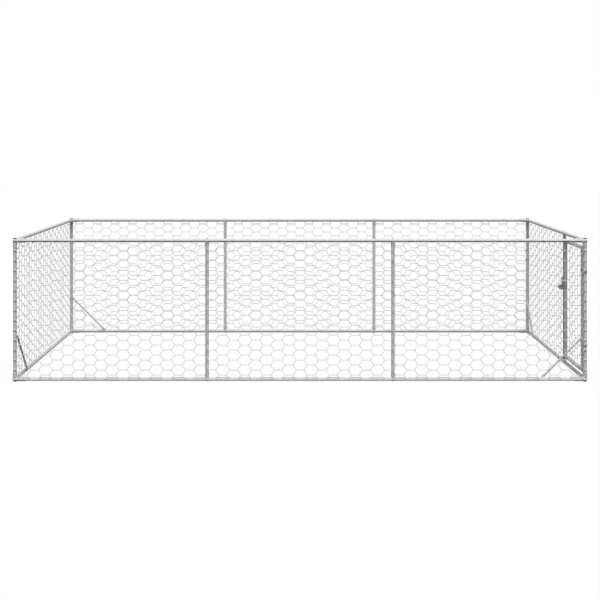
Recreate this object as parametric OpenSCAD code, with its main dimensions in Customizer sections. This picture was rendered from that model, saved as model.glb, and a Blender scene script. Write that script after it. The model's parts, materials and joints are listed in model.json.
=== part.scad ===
// Outdoor kennel run of galvanised tube, open at the top and walled with hexagonal wire netting.
// Ball-cornered fittings join the tubes, flat-ended braces stiffen the four corners, and a door in
// the right wall hangs on two upright pins and closes with a sliding bolt.
// X runs along the length, the front wall is at -Y and Z is up. The origin is on the ground under
// the middle of the run. All sizes are in millimetres.

/* [Run] */
// Length over the corner posts
run_length = 4000; // [3000:50:6000]
// Depth over the corner posts
run_depth = 2000; // [1600:50:4000]
// Height from the ground to the top of the post plugs
run_height = 1000; // [900:10:2000]
// Distance of the mid posts from the middle of the long walls
mid_post_x = 648; // [300:1:1000]

/* [Tubes] */
// Outer diameter of the frame tubes
tube_d = 25; // [22:0.5:38]
// Wall of the frame tubes
tube_wall = 1; // [0.8:0.1:2]
// Radial clearance of a tube in a sleeve, strap or saddle
slip = 0.1; // [0.05:0.05:0.3]
// Gap between the end of a tube and what it butts against
butt = 0.3; // [0.1:0.1:1]
// Overlap of two rail tubes on each side of a mid post
lap = 25; // [15:1:60]
// Length of the taper from a full tube to its plug-in end
swage = 1.5; // [0.5:0.5:10]

/* [Corner fittings] */
// Reach of the two sleeves from the axis of the post
sleeve_reach = 72; // [50:1:120]
// Wall of the sleeves around the rails
sleeve_wall = 2.4; // [1:0.1:2.5]
// Reach of the upright socket from the axes of the rails
socket_reach = 46; // [36:1:120]
// Wall of the upright socket around the post
socket_wall = 2.6; // [2.1:0.1:2.7]
// Wall of the ball in which they meet, measured like theirs
ball_wall = 3; // [2.8:0.1:4]
// Clear height of the sleeves over the ground
sleeve_lift = 2.5; // [1:0.1:6]
// Distance from the axes of the rails to the end of a corner post
post_drop = 4; // [2:0.5:10]
// Distance of a sleeve's screw from its mouth
sleeve_screw_inset = 20; // [8:1:30]
// Distance of a socket's screw from its mouth
socket_screw_inset = 14; // [8:1:16]

/* [Post plugs] */
// Height of the rim that shows on the ball
rim_h = 5; // [4:0.5:6]
// Diameter of the rim
rim_d = 25; // [20:0.5:26]
// Chamfer of the rim
rim_chamfer = 1.5; // [0.5:0.5:2]
// Diameter of the stem in the ball
stem_d = 14; // [8:0.5:16]
// Depth of the stem in the ball
plug_depth = 16; // [8:1:24]

/* [Saddles] */
// Length of post that a saddle holds
saddle_depth = 24; // [12:1:60]
// Wall of a saddle around the post
saddle_wall = 1.5; // [1:0.1:4]
// Floor of a saddle between the rail and the end of the post
saddle_floor = 6; // [4:0.5:15]
// Reach of a saddle's lips down the sides of the rail
saddle_lip = 2; // [1:0.5:10]

/* [Fasteners] */
// Diameter of the upright bolts through the rails
bolt_d = 8; // [5:0.5:10]
// Diameter of their round heads
bolt_head_d = 18; // [13:1:24]
// Height of their round heads
bolt_head_h = 4; // [2:0.5:6]
// Clear height of the lowest bolt heads over the ground
bolt_lift = 0.5; // [0.5:0.5:10]
// Width across the flats of a nut
nut_af = 13; // [13:0.5:14]
// Height of a nut
nut_h = 6.5; // [4:0.5:8]
// Length of bolt that stands out of a nut
bolt_out = 2; // [1:0.5:6]
// Radial clearance of a bolt in the rails and saddles
bolt_clear = 0.2; // [0.1:0.05:0.5]
// Radial clearance in the thread of a nut
thread_fit = 0.05; // [0.02:0.01:0.1]
// Diameter of the screws
screw_d = 4; // [3:0.5:6]
// Length of a screw under its head
screw_length = 8; // [6:0.5:10]
// Diameter of a screw's head
screw_head_d = 8; // [7:0.5:10]
// Height of a screw's head
screw_head_h = 2.4; // [1.5:0.1:3]
// Radial clearance of a screw in its hole
screw_clear = 0.1; // [0.05:0.05:0.3]
// Gap under the heads of bolts and screws, and under nuts
seat = 0.1; // [0.05:0.05:0.3]

/* [Braces] */
// Distance of a brace's screws from the corner, along the post and along the rail
brace_leg = 305; // [200:5:600]
// Diameter of a brace
brace_d = 14; // [8:0.5:14]
// Thickness of its flattened ends
tab_t = 3; // [2:0.5:5]
// Width of its flattened ends
tab_w = 18; // [12:0.5:24]
// Length of the taper between a flattened end and the round bar
tab_taper = 16; // [6:1:40]
// Clearance between the taper and the tubes that it passes
tab_clear = 0.5; // [0.3:0.1:5]

/* [Netting] */
// Distance between the twists of one column of the real netting
mesh_row = 69.5; // [40:0.5:120]
// Distance between two columns of the real netting
mesh_column = 77.5; // [60:0.5:120]
// Length of a twist in the real netting
mesh_twist = 54; // [20:0.5:56]
// Real cells that one modelled cell stands for, each way
mesh_fold = 2.75; // [2:0.25:4]
// Width of a modelled strand
strand_w = 3; // [1.5:0.1:5]
// Thickness of a modelled strand
strand_t = 1.8; // [1:0.1:4]
// Gap between the netting and the fittings that it lies on
net_gap = 0.3; // [0.2:0.1:1]
// Distance of the netting's lower edge from the ground
net_low = 11; // [5:0.5:40]
// Distance of the netting's upper edge from the top of the run
net_high = 21; // [5:0.5:40]
// Reach of the netting past the axes of the corner posts
net_over = 14; // [0:0.5:14]

/* [Door] */
// Distance from the corner post to the hinge stile, axis to axis
hinge_span = 62; // [58:1:120]
// Distance between the axes of the door's stiles
door_width = 508; // [350:1:800]
// Distance from the latch stile to the door post, axis to axis
latch_span = 40; // [40:0.5:44]
// Clear height between the lower rail of the frame and the door
door_gap_low = 23.5; // [10:0.5:120]
// Clear height between the door and the upper rail of the frame
door_gap_high = 31.5; // [10:0.5:120]
// Gap in the mitred corners of the door
mitre_gap = 0.2; // [0.1:0.1:0.5]

/* [Hinges] */
// Height of the lower hinge over the ground
hinge_low = 259; // [160:1:270]
// Height of the upper hinge over the ground
hinge_high = 769; // [600:1:800]
// Height of a hinge strap
strap_h = 14; // [10:0.5:30]
// Wall of a hinge strap around its tube
strap_wall = 2.5; // [1.5:0.1:4]
// Gap between the two straps of a hinge
strap_gap = 0.4; // [0.3:0.1:2]
// Width of the web between a strap and its knuckle
strap_web = 8; // [4:0.5:12]
// Wall of a knuckle around the pin
knuckle_wall = 3.5; // [2:0.5:5]
// Diameter of the hinge pins
pin_d = 8; // [6:0.5:10]
// Radial running clearance of a pin in its knuckles
pin_clear = 0.06; // [0.02:0.01:0.1]
// Diameter of a pin's head
pin_head_d = 14; // [12:0.5:16]
// Height of a pin's head
pin_head_h = 4; // [2:0.5:8]
// Gap between the upper knuckle and the nut of the pin
nut_gap = 0.4; // [0.3:0.1:2]

/* [Latch] */
// Height of the sliding bolt over the ground
latch_z = 581; // [480:1:700]
// Diameter of the sliding bolt
latch_d = 10; // [8:0.5:12]
// Travel of the sliding bolt
latch_travel = 19; // [16:0.5:20]
// Distance of the sliding bolt from the axis of the stile
latch_off = 36; // [32:0.5:44]
// Radial clearance of the sliding bolt in the ears
latch_clear = 0.3; // [0.3:0.05:0.6]
// Diameter of the stop collar on the sliding bolt
collar_d = 15; // [14:0.5:18]
// Length of the stop collar
collar_w = 5; // [3:0.5:6]
// Space left between the collar and an ear at each end of the travel
collar_gap = 1; // [0.5:0.5:2]
// Reach of the sliding bolt past its guide when drawn back
latch_nose = 2; // [1:0.5:4]
// Diameter of the handle
handle_d = 9; // [6:0.5:9.5]
// Length of the handle above the sliding bolt
handle_rise = 81; // [40:1:90]
// Space left between the handle and the guide when the bolt is shut
handle_gap = 3; // [1:0.5:10]
// Thickness of an ear
ear_t = 3; // [2:0.5:3.5]
// Radius of an ear's rounded end
ear_r = 13; // [10:0.5:14]
// Half height of an ear's root
ear_root = 18; // [12:0.5:20]
// Height of the guide and the keeper above the sliding bolt
latch_plate_up = 30; // [26:1:60]
// Height of the guide's and the keeper's screws above the sliding bolt
latch_screw_up = 23; // [20:1:24]
// Distance from the tube's axis to the edge of the guide and the keeper
latch_wrap = 4; // [2:0.5:8]

/* [Hidden] */
$fn = 48;
zinc = [0.72, 0.74, 0.75];
wire = [0.80, 0.81, 0.82];
bright_zinc = [0.62, 0.64, 0.66];
dark_plug = [0.20, 0.20, 0.21];

// Overshoot of every cutting shape
over = 1;

tube_r = tube_d / 2;
bore_r = tube_r - tube_wall;
hold_r = tube_r + slip;
plug_in_r = bore_r - slip;
sleeve_r = hold_r + sleeve_wall;
socket_r = hold_r + socket_wall;
ball_r = hold_r + ball_wall;
saddle_r = hold_r + saddle_wall;
strap_r = hold_r + strap_wall;

// Places of the posts and the heights of the rails
post_x = run_length / 2 - tube_r;
post_y = run_depth / 2 - tube_r;
rail_z = max(sleeve_lift + sleeve_r, bolt_lift + bolt_head_h + seat + tube_r);
top_z = run_height - rail_z;
rail_end = socket_r + butt;
post_seat = hold_r + saddle_floor;

// Places of the door
stile_y = hinge_span - post_y;
latch_stile_y = stile_y + door_width;
door_post_y = latch_stile_y + latch_span;
door_low = rail_z + 2 * tube_r + door_gap_low;
door_high = top_z - 2 * tube_r - door_gap_high;
hinge_arm = hinge_span / 2;
hinges = [hinge_low, hinge_high];
pin_r = pin_d / 2;
knuckle_r = pin_r + pin_clear + knuckle_wall;

// Places along the sliding bolt, from the axis of the latch stile
ear_in = collar_w / 2 + collar_gap + latch_travel / 2;
ear_out = ear_in + ear_t;
collar_y = -latch_travel / 2;
nose_y = ear_out + latch_nose;
handle_y = -ear_out - handle_gap - latch_travel - handle_d / 2;

// Netting lies outside everything that goes round the tubes
net_off = max(ball_r, strap_r, saddle_r) + net_gap;
net_top = run_height - net_high;

brace_length = brace_leg * sqrt(2);
tab_run = (tube_r + tab_clear) * sqrt(2) + tab_w / 2;

corners = [
    ["front_left", -1, -1],
    ["front_right", 1, -1],
    ["back_left", -1, 1],
    ["back_right", 1, 1]
];
// Corner of each brace, and whether it lies in a short wall
braces = [
    ["front_left", -1, -1, true],
    ["front_right", 1, -1, false],
    ["back_left", -1, 1, false],
    ["back_right", 1, 1, true]
];
long_walls = [["front", -1], ["back", 1]];
short_walls = [["left", -1], ["right", 1]];
levels = [["bottom", false], ["top", true]];
bays = ["left", "mid", "right"];

// Puts a shape made for the front left corner, with the run towards +X and +Y, at another corner
module at_corner(c) {
    translate([c[1] * post_x, c[2] * post_y, 0])
        mirror([c[1] > 0 ? 1 : 0, 0, 0])
            mirror([0, c[2] > 0 ? 1 : 0, 0])
                children();
}

// Puts a shape made on the axis of a lower rail, with the post above it, at either rail
module at_level(top) {
    translate([0, 0, top ? top_z : rail_z])
        mirror([0, 0, top ? 1 : 0])
            children();
}

// Puts a shape made for the long wall at the front left corner where a brace lies
module at_brace(b) {
    at_corner(b)
        mirror(b[3] ? [1, -1, 0] : [0, 0, 0])
            children();
}

// Puts a shape at every place where a mid post or the door post meets a rail
module at_rail_joints() {
    for (w = long_walls, s = short_walls, l = levels)
        translate([s[1] * mid_post_x, w[1] * post_y, 0])
            at_level(l[1])
                children();
    for (l = levels)
        translate([post_x, door_post_y, 0])
            at_level(l[1])
                rotate([0, 0, 90])
                    children();
}

// Puts a shape on the inner side of an upright tube in the right wall, pointing into the run
module at_inner_side(y, z) {
    translate([post_x - strap_r - seat, y, z])
        rotate([0, -90, 0])
            children();
}

// Puts a shape at every screw of the frame
module at_frame_screws() {
    for (c = corners, l = levels)
        at_corner(c)
            at_level(l[1]) {
                translate([sleeve_reach - sleeve_screw_inset, sleeve_r + seat, 0])
                    rotate([-90, 0, 0])
                        children();
                translate([sleeve_r + seat, sleeve_reach - sleeve_screw_inset, 0])
                    rotate([0, 90, 0])
                        children();
                translate([socket_r + seat, 0, socket_reach - socket_screw_inset])
                    rotate([0, 90, 0])
                        children();
            }
    for (w = long_walls, s = short_walls, z = [rail_z, top_z])
        translate([s[1] * mid_post_x, w[1] * (post_y + tube_r + seat), z])
            rotate([-90 * w[1], 0, 0])
                children();
    for (b = braces)
        at_brace(b)
            for (p = [[0, rail_z + brace_leg], [brace_leg, rail_z]])
                translate([p[0], hold_r + tab_t + seat, p[1]])
                    rotate([-90, 0, 0])
                        children();
    for (z = hinges)
        translate([post_x, -post_y - strap_r - seat, z - strap_h / 2])
            rotate([90, 0, 0])
                children();
    at_inner_side(door_post_y, latch_z + latch_screw_up)
        children();
}

// Puts a shape at every screw of the door
module at_door_screws() {
    for (z = hinges)
        at_inner_side(stile_y, z + strap_h / 2)
            children();
    at_inner_side(latch_stile_y, latch_z + latch_screw_up)
        children();
}

// Pan head screw that points down, with its seat at the origin
module screw() {
    cylinder(d = screw_head_d, h = screw_head_h);
    translate([0, 0, -screw_length])
        cylinder(d = screw_d, h = screw_length + screw_head_h / 2);
}

module screw_hole() {
    translate([0, 0, -screw_length - over])
        cylinder(d = screw_d + 2 * screw_clear, h = screw_length + 2 * over);
}

// Hole for an upright bolt, through a rail and the floor of the saddle on it
module bolt_hole() {
    translate([0, 0, -tube_r - over])
        cylinder(r = bolt_d / 2 + bolt_clear, h = tube_r + post_seat + 2 * over);
}

// Open tube along Z
module tube(length) {
    difference() {
        cylinder(r = tube_r, h = length);
        translate([0, 0, -over])
            cylinder(r = bore_r, h = length + 2 * over);
    }
}

// Rail of the middle bay along Z, drawn down at both ends to plug into its neighbours
module plug_in_tube() {
    full = mid_post_x - lap - butt - swage;
    drawn = full + swage;
    end = mid_post_x + lap;
    in_r = plug_in_r - tube_wall;
    rotate_extrude()
        polygon([
            [tube_r, -full], [tube_r, full], [plug_in_r, drawn], [plug_in_r, end],
            [in_r, end], [in_r, drawn], [bore_r, full], [bore_r, -full],
            [in_r, -drawn], [in_r, -end], [plug_in_r, -end], [plug_in_r, -drawn]
        ]);
}

module corner_post(c) {
    foot = rail_z + post_drop + butt;
    color(zinc)
        difference() {
            translate([c[1] * post_x, c[2] * post_y, foot])
                tube(run_height - 2 * foot);
            at_frame_screws()
                screw_hole();
        }
}

// Upright tube between the saddles on two rails
module post_on_rails(x, y) {
    foot = rail_z + post_seat + butt;
    color(zinc)
        translate([x, y, foot])
            tube(run_height - 2 * foot);
}

module mid_post(wall, side) {
    post_on_rails(side * mid_post_x, wall * post_y);
}

module door_post() {
    color(zinc)
        difference() {
            post_on_rails(post_x, door_post_y);
            at_frame_screws()
                screw_hole();
        }
}

module long_rail(side, top, bay) {
    color(zinc)
        difference() {
            translate([0, side * post_y, top ? top_z : rail_z])
                if (bay == "mid")
                    rotate([0, 90, 0])
                        plug_in_tube();
                else
                    mirror([bay == "right" ? 1 : 0, 0, 0])
                        translate([rail_end - post_x, 0, 0])
                            rotate([0, 90, 0])
                                tube(post_x - rail_end - mid_post_x + lap);
            at_frame_screws()
                screw_hole();
            at_rail_joints()
                bolt_hole();
        }
}

module short_rail(side, top) {
    color(zinc)
        difference() {
            translate([side * post_x, rail_end - post_y, top ? top_z : rail_z])
                rotate([-90, 0, 0])
                    tube(2 * (post_y - rail_end));
            at_frame_screws()
                screw_hole();
            at_rail_joints()
                bolt_hole();
        }
}

// Ball with an upright socket, two sleeves and a seat for a plug, made on the axes of a lower corner
module three_way() {
    plug_seat = rim_h + seat - rail_z;
    bottom_of_bore = socket_r + butt / 2;
    difference() {
        union() {
            sphere(r = ball_r);
            cylinder(r = socket_r, h = socket_reach);
            for (turn = [[0, 90, 0], [-90, 0, 0]])
                rotate(turn)
                    cylinder(r = sleeve_r, h = sleeve_reach);
        }
        translate([0, 0, post_drop])
            cylinder(r = hold_r, h = socket_reach - post_drop + over);
        for (turn = [[0, 90, 0], [-90, 0, 0]])
            rotate(turn)
                translate([0, 0, bottom_of_bore])
                    cylinder(r = hold_r, h = sleeve_reach - bottom_of_bore + over);
        translate([0, 0, -rail_z])
            cylinder(r = rim_d / 2 + butt, h = rail_z + plug_seat);
        translate([0, 0, plug_seat - over])
            cylinder(r = stem_d / 2 + slip, h = post_drop - plug_seat + 2 * over);
    }
}

module corner_fitting(c, top) {
    color(zinc)
        difference() {
            at_corner(c)
                at_level(top)
                    three_way();
            at_frame_screws()
                screw_hole();
        }
}

// Plug with a chamfered rim, pushed up into the ball at the foot of a post
module plug() {
    rim_r = rim_d / 2;
    stem_r = stem_d / 2;
    rotate_extrude()
        polygon([
            [0, 0], [rim_r - rim_chamfer, 0], [rim_r, rim_chamfer], [rim_r, rim_h],
            [stem_r, rim_h], [stem_r, rim_h + plug_depth], [0, rim_h + plug_depth]
        ]);
}

module post_plugs() {
    color(dark_plug)
        for (c = corners) {
            translate([c[1] * post_x, c[2] * post_y, 0])
                plug();
            translate([c[1] * post_x, c[2] * post_y, run_height])
                mirror([0, 0, 1])
                    plug();
        }
}

// Ferrule that sits on a rail and holds the end of a post
module saddle() {
    difference() {
        translate([0, 0, tube_r - saddle_lip])
            cylinder(r = saddle_r, h = post_seat - tube_r + saddle_lip + saddle_depth);
        rotate([0, 90, 0])
            cylinder(r = hold_r, h = 2 * saddle_r + 2 * over, center = true);
        translate([0, 0, post_seat])
            cylinder(r = hold_r, h = saddle_depth + over);
        bolt_hole();
    }
}

module post_saddles() {
    color(zinc)
        at_rail_joints()
            saddle();
}

// Round headed bolt that comes up through a rail, its saddle and its nut
module rail_bolt() {
    head_r = bolt_head_d / 2;
    dome_r = (head_r * head_r + bolt_head_h * bolt_head_h) / (2 * bolt_head_h);
    under_head = -tube_r - seat;
    intersection() {
        translate([0, 0, under_head - bolt_head_h + dome_r])
            sphere(r = dome_r);
        translate([0, 0, under_head - bolt_head_h - over])
            cylinder(r = head_r, h = bolt_head_h + over);
    }
    translate([0, 0, under_head - bolt_head_h / 2])
        cylinder(d = bolt_d, h = bolt_head_h / 2 - under_head + post_seat + seat + nut_h + bolt_out);
}

module rail_bolts() {
    color(bright_zinc)
        at_rail_joints()
            rail_bolt();
}

module hex_nut(hole_r) {
    difference() {
        cylinder(d = nut_af / cos(30), h = nut_h, $fn = 6);
        translate([0, 0, -over])
            cylinder(r = hole_r, h = nut_h + 2 * over);
    }
}

module rail_nuts() {
    color(bright_zinc)
        at_rail_joints()
            translate([0, 0, post_seat + seat])
                hex_nut(bolt_d / 2 + thread_fit);
}

module frame_screws() {
    color(bright_zinc)
        at_frame_screws()
            screw();
}

// Flat end of a brace around its screw, tapering into the round bar along +X
module brace_end() {
    blend = 0.2;
    difference() {
        union() {
            rotate([90, 0, 0])
                linear_extrude(tab_t, center = true) {
                    circle(d = tab_w);
                    translate([0, -tab_w / 2])
                        square([tab_run + over, tab_w]);
                }
            hull() {
                translate([tab_run, blend / 2 - tab_t / 2, blend / 2 - tab_w / 2])
                    cube([over, tab_t - blend, tab_w - blend]);
                translate([tab_run + tab_taper, 0, 0])
                    rotate([0, 90, 0])
                        cylinder(d = brace_d - blend, h = over, $fn = 32);
            }
        }
        rotate([90, 0, 0])
            cylinder(d = screw_d + 2 * screw_clear, h = tab_t + 2 * over, center = true);
    }
}

// Whole brace along +X between its two screws
module brace_bar() {
    bar_from = tab_run + tab_taper;
    brace_end();
    translate([brace_length, 0, 0])
        mirror([1, 0, 0])
            brace_end();
    translate([bar_from, 0, 0])
        rotate([0, 90, 0])
            cylinder(d = brace_d, h = brace_length - 2 * bar_from);
}

module brace(b) {
    color(zinc)
        at_brace(b)
            translate([0, hold_r + tab_t / 2, rail_z + brace_leg])
                rotate([0, 45, 0])
                    brace_bar();
}

// Hexagonal netting with a border strand, flat in XY from the origin
module net(w, h) {
    columns = max(1, round(w / (mesh_column * mesh_fold)));
    rows = max(1, round(h / (mesh_row * mesh_fold)));
    pitch = w / columns;
    row = h / rows;
    twist = pitch * mesh_twist / mesh_column;
    slant = pitch - twist;
    half = row / 2;
    inset = strand_w / 2;
    reach = norm([slant, half]);
    tip = twist / 2 + slant - inset * reach / half;
    corner = twist / 2 - inset * (reach - slant) / half;
    flat = half - inset;
    linear_extrude(strand_t)
        difference() {
            square([w, h]);
            intersection() {
                translate([strand_w, strand_w])
                    square([w - 2 * strand_w, h - 2 * strand_w]);
                for (i = [0:columns], j = [0:rows - 1 + i % 2])
                    translate([i * pitch, (j + (1 - i % 2) / 2) * row])
                        polygon([
                            [tip, 0], [corner, flat], [-corner, flat],
                            [-tip, 0], [-corner, -flat], [corner, -flat]
                        ]);
            }
        }
}

// Netting on the outside of a wall: the front wall turned about Z
module wall_net(turn, wall, from, to, low, high) {
    color(wire)
        rotate([0, 0, turn])
            translate([from, -wall - net_off, low])
                rotate([90, 0, 0])
                    net(to - from, high - low);
}

module front_netting() {
    wall_net(0, post_y, -post_x - net_over, post_x + net_over, net_low, net_top);
}

module back_netting() {
    wall_net(180, post_y, -post_x - net_over, post_x + net_over, net_low, net_top);
}

module left_netting() {
    wall_net(-90, post_x, -post_y - net_over, post_y + net_over, net_low, net_top);
}

module right_netting() {
    wall_net(90, post_x, door_post_y - tube_r, post_y + net_over, net_low, net_top);
}

module door_netting() {
    wall_net(90, post_x, stile_y, latch_stile_y, door_low, door_high);
}

// Tube along Z between two mitred corners, with the inside of the frame towards +Y
module mitred_tube(length) {
    size = 4 * tube_d;
    difference() {
        translate([0, 0, -tube_r])
            tube(length + 2 * tube_r);
        for (end = [0, 1])
            translate([0, 0, end * length])
                mirror([0, 0, end])
                    rotate([45, 0, 0])
                        translate([-size / 2, -size / 2, mitre_gap / 2 - size])
                            cube(size);
    }
}

module door_stile(y, inside) {
    color(zinc)
        difference() {
            translate([post_x, y, door_low])
                mirror([0, inside > 0 ? 0 : 1, 0])
                    mitred_tube(door_high - door_low);
            at_door_screws()
                screw_hole();
        }
}

module door_rail(z, inside) {
    color(zinc)
        translate([post_x, stile_y, z])
            mirror([0, 0, inside > 0 ? 0 : 1])
                mirror([0, 1, -1])
                    mitred_tube(door_width);
}

// Strap round a tube with a knuckle for the pin towards +Y
module hinge_strap() {
    difference() {
        union() {
            cylinder(r = strap_r, h = strap_h - strap_gap / 2);
            translate([0, hinge_arm, 0])
                cylinder(r = knuckle_r, h = strap_h - strap_gap / 2);
            translate([-strap_web / 2, 0, 0])
                cube([strap_web, hinge_arm, strap_h - strap_gap / 2]);
        }
        for (hole = [[0, hold_r], [hinge_arm, pin_r + pin_clear]])
            translate([0, hole[0], -over])
                cylinder(r = hole[1], h = strap_h + 2 * over);
    }
}

module hinge_post_straps() {
    color(zinc)
        difference() {
            for (z = hinges)
                translate([post_x, -post_y, z - strap_h])
                    hinge_strap();
            at_frame_screws()
                screw_hole();
        }
}

module hinge_door_straps() {
    color(zinc)
        difference() {
            for (z = hinges)
                translate([post_x, stile_y, z + strap_gap / 2])
                    mirror([0, 1, 0])
                        hinge_strap();
            at_door_screws()
                screw_hole();
        }
}

// Height of a pin's nut over the middle of its hinge
pin_nut_z = strap_h + nut_gap;

module hinge_pins() {
    color(bright_zinc)
        for (z = hinges)
            translate([post_x, stile_y - hinge_arm, z - strap_h - seat]) {
                translate([0, 0, -pin_head_h])
                    cylinder(d = pin_head_d, h = pin_head_h, $fn = 6);
                cylinder(r = pin_r, h = strap_h + seat + pin_nut_z + nut_h + bolt_out);
            }
}

module hinge_nuts() {
    color(bright_zinc)
        for (z = hinges)
            translate([post_x, stile_y - hinge_arm, z + pin_nut_z])
                hex_nut(pin_r + thread_fit);
}

// Half strap on the inner side of an upright tube, with two ears for the sliding bolt
module eared_strap() {
    difference() {
        union() {
            intersection() {
                translate([0, 0, -ear_root])
                    cylinder(r = strap_r, h = ear_root + latch_plate_up);
                translate([-latch_wrap - strap_d, -strap_d / 2, -ear_root - over])
                    cube([strap_d, strap_d, ear_root + latch_plate_up + 2 * over]);
            }
            for (y = [-ear_out, ear_in])
                translate([0, y + ear_t, 0])
                    rotate([90, 0, 0])
                        linear_extrude(ear_t)
                            ear_outline();
        }
        translate([0, 0, -ear_root - over])
            cylinder(r = hold_r, h = ear_root + latch_plate_up + 2 * over);
        translate([-latch_off, -ear_out - over, 0])
            rotate([-90, 0, 0])
                cylinder(r = latch_d / 2 + latch_clear, h = 2 * (ear_out + over));
    }
}

strap_d = 2 * strap_r;
// Share of the ear's rounded end that its tapering sides run into
ear_waist = 0.85;

module ear_outline() {
    translate([-latch_off, 0])
        circle(r = ear_r);
    polygon([
        [-latch_wrap, -ear_root], [-latch_wrap, ear_root],
        [-latch_off, ear_waist * ear_r], [-latch_off, -ear_waist * ear_r]
    ]);
}

module latch_guide() {
    color(zinc)
        difference() {
            translate([post_x, latch_stile_y, latch_z])
                eared_strap();
            at_door_screws()
                screw_hole();
        }
}

module latch_keeper() {
    color(zinc)
        difference() {
            translate([post_x, door_post_y, latch_z])
                eared_strap();
            at_frame_screws()
                screw_hole();
        }
}

module latch_bolt() {
    color(bright_zinc)
        translate([post_x - latch_off, latch_stile_y, latch_z]) {
            translate([0, handle_y - handle_d / 2 - over, 0])
                rotate([-90, 0, 0])
                    cylinder(d = latch_d, h = nose_y - handle_y + handle_d / 2 + over);
            translate([0, collar_y - collar_w / 2, 0])
                rotate([-90, 0, 0])
                    cylinder(d = collar_d, h = collar_w);
            translate([0, handle_y, 0])
                cylinder(d = handle_d, h = handle_rise);
        }
}

module door_screws() {
    color(bright_zinc)
        at_door_screws()
            screw();
}

for (c = corners)
    corner_post(c);
for (w = long_walls, s = short_walls)
    mid_post(w[1], s[1]);
door_post();
for (w = long_walls, l = levels, b = bays)
    long_rail(w[1], l[1], b);
for (w = short_walls, l = levels)
    short_rail(w[1], l[1]);
for (c = corners, l = levels)
    corner_fitting(c, l[1]);
post_plugs();
post_saddles();
rail_bolts();
rail_nuts();
frame_screws();
for (b = braces)
    brace(b);
front_netting();
back_netting();
left_netting();
right_netting();
door_stile(stile_y, 1);  // door_hinge_stile
door_stile(latch_stile_y, -1);  // door_latch_stile
door_rail(door_low, 1);  // door_bottom_rail
door_rail(door_high, -1);  // door_top_rail
door_netting();
hinge_post_straps();
hinge_door_straps();
hinge_pins();
hinge_nuts();
latch_guide();
latch_keeper();
latch_bolt();
door_screws();
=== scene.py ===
import json
import math
from functools import partial

import bmesh
import bpy
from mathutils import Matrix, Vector


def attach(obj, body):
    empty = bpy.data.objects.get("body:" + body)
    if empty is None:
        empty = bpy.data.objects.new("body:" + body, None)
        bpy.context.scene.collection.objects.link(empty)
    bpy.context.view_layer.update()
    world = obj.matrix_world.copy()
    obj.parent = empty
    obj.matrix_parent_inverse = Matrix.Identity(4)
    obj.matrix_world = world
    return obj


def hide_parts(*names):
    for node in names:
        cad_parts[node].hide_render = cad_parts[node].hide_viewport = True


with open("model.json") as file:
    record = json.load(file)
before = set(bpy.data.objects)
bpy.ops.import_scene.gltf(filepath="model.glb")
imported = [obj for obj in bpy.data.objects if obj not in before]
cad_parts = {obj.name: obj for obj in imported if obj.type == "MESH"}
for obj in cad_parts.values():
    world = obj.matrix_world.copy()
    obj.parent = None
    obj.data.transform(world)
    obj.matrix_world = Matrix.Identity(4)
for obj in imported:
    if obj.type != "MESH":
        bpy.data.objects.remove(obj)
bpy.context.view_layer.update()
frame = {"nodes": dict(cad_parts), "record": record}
scene = bpy.context.scene
cadNodes = frame["nodes"]
print("frame loaded, nodes:", len(cadNodes))

# places that the dressed pieces share with the solids, in metres
run = {
    "postX": 1.9875,
    "postY": 0.9875,
    "height": 1.0,
    "railZ": 0.0175,          # axes of the bottom rails, and of the top rails below the height
    "tubeRadius": 0.0125,
    "midPostX": 0.648,
    "hingeStileY": -0.9255,
    "latchStileY": -0.4175,
    "doorPostY": -0.3775,
    "doorLow": 0.066,         # axes of the door's rails
    "doorHigh": 0.926,
    "hingeZ": (0.259, 0.769),
    "latchZ": 0.581,
}
px, py = run["postX"], run["postY"]
railLevels = (run["railZ"], run["height"] - run["railZ"])
inwards = (1, -1)             # the way into the run: up from the bottom rails, down from the top ones
corners = [(sx, sy) for sx in (-1, 1) for sy in (-1, 1)]


def addObject(name, data):
    made = bpy.data.objects.new(name, data)
    scene.collection.objects.link(made)
    return made


def fit(piece, body, slot, *replaced):
    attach(piece, body)
    if replaced:
        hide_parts(*replaced)


def keepBuild(name, build, finish):
    bmesh.ops.recalc_face_normals(build, faces=build.faces)
    mesh = bpy.data.meshes.new(name)
    build.to_mesh(mesh)
    build.free()
    mesh.shade_smooth()
    mesh.materials.append(finish)
    return addObject(name, mesh)


# helpers for node trees

def put(tree, socket, value):
    if isinstance(value, bpy.types.NodeSocket):
        tree.links.new(value, socket)
    else:
        socket.default_value = value


def addNode(tree, kind, settings=None, **inputs):
    made = tree.nodes.new(kind)
    for key, value in (settings or {}).items():
        setattr(made, key, value)
    for key, value in inputs.items():
        put(tree, made.inputs[key.replace("_", " ")], value)
    return made


def firstOut(tree, kind, settings=None, **inputs):
    return addNode(tree, kind, settings, **inputs).outputs[0]


def calc(tree, operation, *values):
    made = addNode(tree, "ShaderNodeMath", {"operation": operation})
    for socket, value in zip(made.inputs, values):
        put(tree, socket, value)
    return made.outputs[0]


def vectorCalc(tree, operation, *values):
    made = addNode(tree, "ShaderNodeVectorMath", {"operation": operation})
    for socket, value in zip(made.inputs, values):
        put(tree, socket, value)
    return made.outputs[0]


def combine(tree, x=0.0, y=0.0, z=0.0):
    return firstOut(tree, "ShaderNodeCombineXYZ", X=x, Y=y, Z=z)


def toolsFor(tree):
    # the four helpers above, bound to one tree
    return [partial(tool, tree) for tool in (firstOut, calc, vectorCalc, combine)]


def newTree(name, sockets):
    tree = bpy.data.node_groups.new(name, "GeometryNodeTree")
    tree.interface.new_socket(name="Geometry", in_out="INPUT", socket_type="NodeSocketGeometry")
    for kind, labels in sockets.items():
        for label in labels:
            tree.interface.new_socket(name=label, in_out="INPUT", socket_type="NodeSocket" + kind)
    tree.interface.new_socket(name="Geometry", in_out="OUTPUT", socket_type="NodeSocketGeometry")
    given = tree.nodes.new("NodeGroupInput").outputs
    return tree, given, tree.nodes.new("NodeGroupOutput").inputs[0]


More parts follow.
